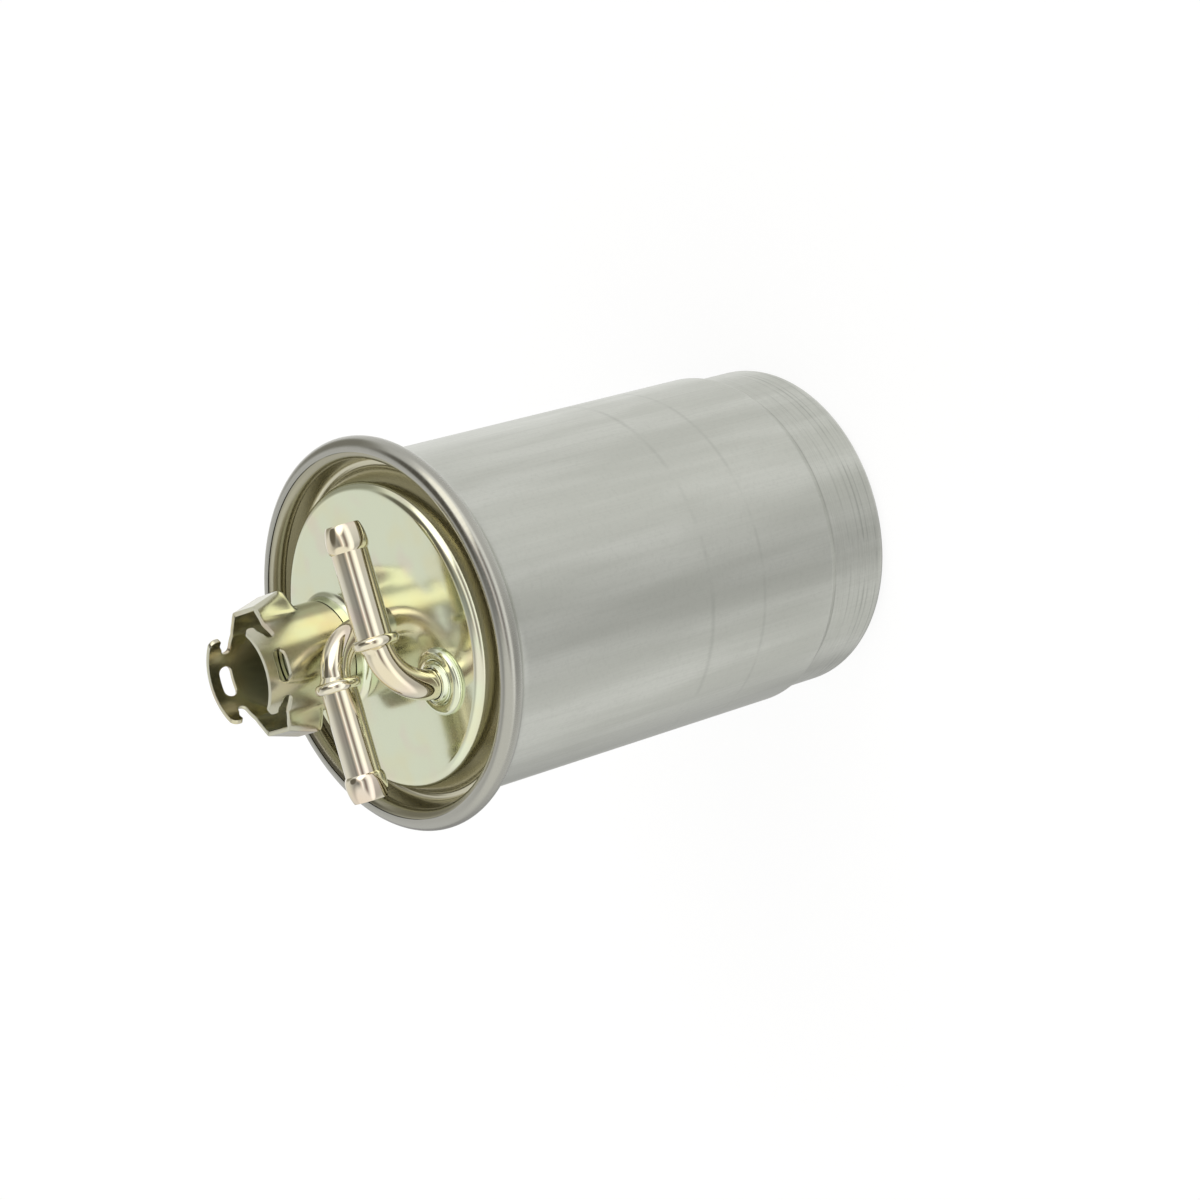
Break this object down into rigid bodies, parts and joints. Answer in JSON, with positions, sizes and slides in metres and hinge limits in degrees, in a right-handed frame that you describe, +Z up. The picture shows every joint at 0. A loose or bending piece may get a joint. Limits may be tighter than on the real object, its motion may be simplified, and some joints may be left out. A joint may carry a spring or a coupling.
{
  "type": "fuel filter",
  "caption": "In-line diesel fuel filter: a drawn can with a rolled lid, two bent hose pipes, a clip-in control-valve collar and a water drain screw.",
  "frame": {"origin": "centre of the flat ring at the can's bottom that the filter stands on", "axes": "+Z up the can's axis towards the pipes; +X the way the inlet pipe's stub points; +Y towards the control-valve collar"},
  "size_m": [0.088, 0.088, 0.145],
  "materials": {
    "aluminium_can": "satin, drawn, fine scratches along the can",
    "chromated_steel": "zinc plate with pale yellow-green chromate, semi-gloss",
    "bright_chromate": "zinc plate with yellow chromate, glossy",
    "plain_steel": "pressed tinplate",
    "spring_steel": "oiled spring wire",
    "brass": "turned",
    "black_rubber": "matt",
    "seam_compound": "matt",
    "plastisol": "cast",
    "filter_paper": "resin-treated paper",
    "black_plastic": "moulded"
  },
  "bodies": {
    "filter": {"can": "aluminium_can", "lid": "chromated_steel", "seam_seal": "seam_compound", "valve_collar": "chromated_steel", "valve_socket_cup": "plain_steel", "inlet_pipe": "bright_chromate", "outlet_pipe": "bright_chromate", "inlet_ferrule": "bright_chromate", "outlet_ferrule": "bright_chromate", "outlet_socket": "plain_steel", "socket_seal": "black_rubber", "element_top_cap": "plain_steel", "top_glue": "plastisol", "element_pleats": "filter_paper", "centre_tube": "plain_steel", "bottom_glue": "plastisol", "element_bottom_cap": "plain_steel", "water_baffle": "plain_steel", "element_spring": "spring_steel", "spring_seat": "plain_steel", "drain_boss": "brass", "drain_washer": "black_rubber", "boss_nut": "brass"},
    "drain_travel": {"drain_seal": "black_rubber"},
    "drain_turn": {"drain_screw": "black_plastic"}
  },
  "joints": [
    {"name": "drain_screw_travel", "type": "slide", "parent": "filter", "child": "drain_travel", "axis": [0, 0, -1], "range_m": [0, 0.00375]},
    {"name": "drain_screw_turn", "type": "hinge", "parent": "drain_travel", "child": "drain_turn", "pos_m": [0, 0, 0.0042], "axis": [0, 0, -1], "range_deg": [0, 1080]}
  ],
  "couplings": [
    {"joint": "drain_screw_turn", "follows": "drain_screw_travel", "rad_per_m": 5026.5}
  ]
}
